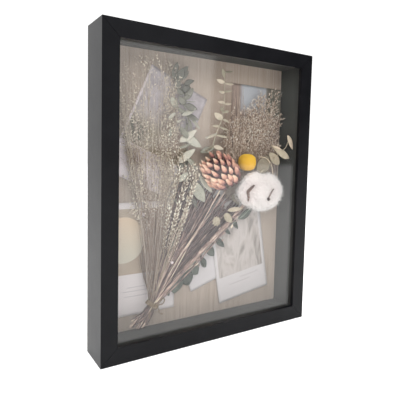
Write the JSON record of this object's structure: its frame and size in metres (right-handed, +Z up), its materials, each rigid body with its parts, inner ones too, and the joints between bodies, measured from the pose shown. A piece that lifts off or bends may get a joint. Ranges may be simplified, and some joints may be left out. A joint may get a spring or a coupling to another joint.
{
  "type": "shadow box",
  "caption": "Deep rear-loading display frame with a glazed front, liners, a clipped-in linen back panel and a dried bouquet with printed cards inside.",
  "frame": {"origin": "centre of the underside of the bottom rail, midway between the front and rear faces of the rails", "axes": "+Z up, +X to the right seen from the glass side, +Y into the depth towards the wall; the glass faces -Y"},
  "size_m": [0.31, 0.0538, 0.386],
  "materials": {
    "black_painted_wood": "satin",
    "liner_board": "matte",
    "glass": "polished",
    "hardboard": "matte",
    "linen": "matte",
    "zinc_steel": "satin",
    "button_steel": "satin",
    "rubber": "matte",
    "pearl_pin": "gloss",
    "card_print_grey": "matte",
    "card_print_blue": "matte",
    "card_print_beige": "matte",
    "card_white": "matte",
    "card_print_cloth": "satin",
    "dried_stem": "matte",
    "twine": "matte",
    "pine_cone": "matte",
    "cotton": "matte",
    "craspedia": "matte",
    "fine_grass": "matte",
    "brown_grass": "matte",
    "seed_head": "matte",
    "dried_leaf_pale": "matte",
    "dried_leaf_dark": "matte"
  },
  "bodies": {
    "frame": {"rail_left": "black_painted_wood", "rail_right": "black_painted_wood", "rail_bottom": "black_painted_wood", "rail_top": "black_painted_wood", "corner_v_nail_left": "zinc_steel", "corner_v_nail_right": "zinc_steel", "corner_v_nail_bottom": "zinc_steel", "corner_v_nail_top": "zinc_steel", "glass_pane": "glass", "liner_left": "liner_board", "liner_right": "liner_board", "liner_bottom": "liner_board", "liner_top": "liner_board", "button_screw_left_1": "zinc_steel", "button_screw_left_2": "zinc_steel", "button_screw_right_1": "zinc_steel", "button_screw_right_2": "zinc_steel", "button_screw_bottom_1": "zinc_steel", "button_screw_bottom_2": "zinc_steel", "button_screw_top_1": "zinc_steel", "button_screw_top_2": "zinc_steel", "sawtooth_hanger_left": "zinc_steel", "sawtooth_hanger_top": "zinc_steel", "hanger_nail_left_1": "zinc_steel", "hanger_nail_left_2": "zinc_steel", "hanger_nail_top_1": "zinc_steel", "hanger_nail_top_2": "zinc_steel", "rear_bumper_left_1": "rubber", "rear_bumper_left_2": "rubber", "rear_bumper_right_1": "rubber", "rear_bumper_right_2": "rubber"},
    "back_panel": {"backing_board": "hardboard", "linen_cover": "linen", "card_upper_left": "card_print_grey", "card_upper_right": "card_print_blue", "card_lower_left": "card_print_beige", "card_lower_middle": "card_white", "card_lower_right": "card_print_cloth", "card_pin": "pearl_pin", "bouquet_pin": "pearl_pin", "stem_bundle": "dried_stem", "twine_tie": "twine", "pine_cone": "pine_cone", "cotton_boll": "cotton", "craspedia_head": "craspedia", "fine_grass": "fine_grass", "brown_grass": "brown_grass", "seed_cluster": "seed_head", "eucalyptus_sprig": "dried_leaf_pale", "baby_eucalyptus": "dried_leaf_pale", "side_leaves": "dried_leaf_pale", "leaf_row": "dried_leaf_dark"},
    "turn_button_left_1": {"turn_button_left_1": "button_steel"},
    "turn_button_left_2": {"turn_button_left_2": "button_steel"},
    "turn_button_right_1": {"turn_button_right_1": "button_steel"},
    "turn_button_right_2": {"turn_button_right_2": "button_steel"},
    "turn_button_bottom_1": {"turn_button_bottom_1": "button_steel"},
    "turn_button_bottom_2": {"turn_button_bottom_2": "button_steel"},
    "turn_button_top_1": {"turn_button_top_1": "button_steel"},
    "turn_button_top_2": {"turn_button_top_2": "button_steel"}
  },
  "joints": [
    {"name": "turn_button_left_1_turn", "type": "hinge", "parent": "frame", "child": "turn_button_left_1", "pos_m": [-0.1475, 0.0258, 0.10036], "axis": [0, 1, 0], "range_deg": [0, 90]},
    {"name": "turn_button_left_2_turn", "type": "hinge", "parent": "frame", "child": "turn_button_left_2", "pos_m": [-0.1475, 0.0258, 0.28564], "axis": [0, 1, 0], "range_deg": [0, 90]},
    {"name": "turn_button_right_1_turn", "type": "hinge", "parent": "frame", "child": "turn_button_right_1", "pos_m": [0.1475, 0.0258, 0.28564], "axis": [0, 1, 0], "range_deg": [0, 90]},
    {"name": "turn_button_right_2_turn", "type": "hinge", "parent": "frame", "child": "turn_button_right_2", "pos_m": [0.1475, 0.0258, 0.10036], "axis": [0, 1, 0], "range_deg": [0, 90]},
    {"name": "turn_button_bottom_1_turn", "type": "hinge", "parent": "frame", "child": "turn_button_bottom_1", "pos_m": [0.0744, 0.0258, 0.0075], "axis": [0, 1, 0], "range_deg": [0, 90]},
    {"name": "turn_button_bottom_2_turn", "type": "hinge", "parent": "frame", "child": "turn_button_bottom_2", "pos_m": [-0.0744, 0.0258, 0.0075], "axis": [0, 1, 0], "range_deg": [0, 90]},
    {"name": "turn_button_top_1_turn", "type": "hinge", "parent": "frame", "child": "turn_button_top_1", "pos_m": [-0.0744, 0.0258, 0.3785], "axis": [0, 1, 0], "range_deg": [0, 90]},
    {"name": "turn_button_top_2_turn", "type": "hinge", "parent": "frame", "child": "turn_button_top_2", "pos_m": [0.0744, 0.0258, 0.3785], "axis": [0, 1, 0], "range_deg": [0, 90]},
    {"name": "back_panel_lift_out", "type": "slide", "parent": "frame", "child": "back_panel", "axis": [0, 1, 0], "range_m": [0, 0.1]}
  ]
}
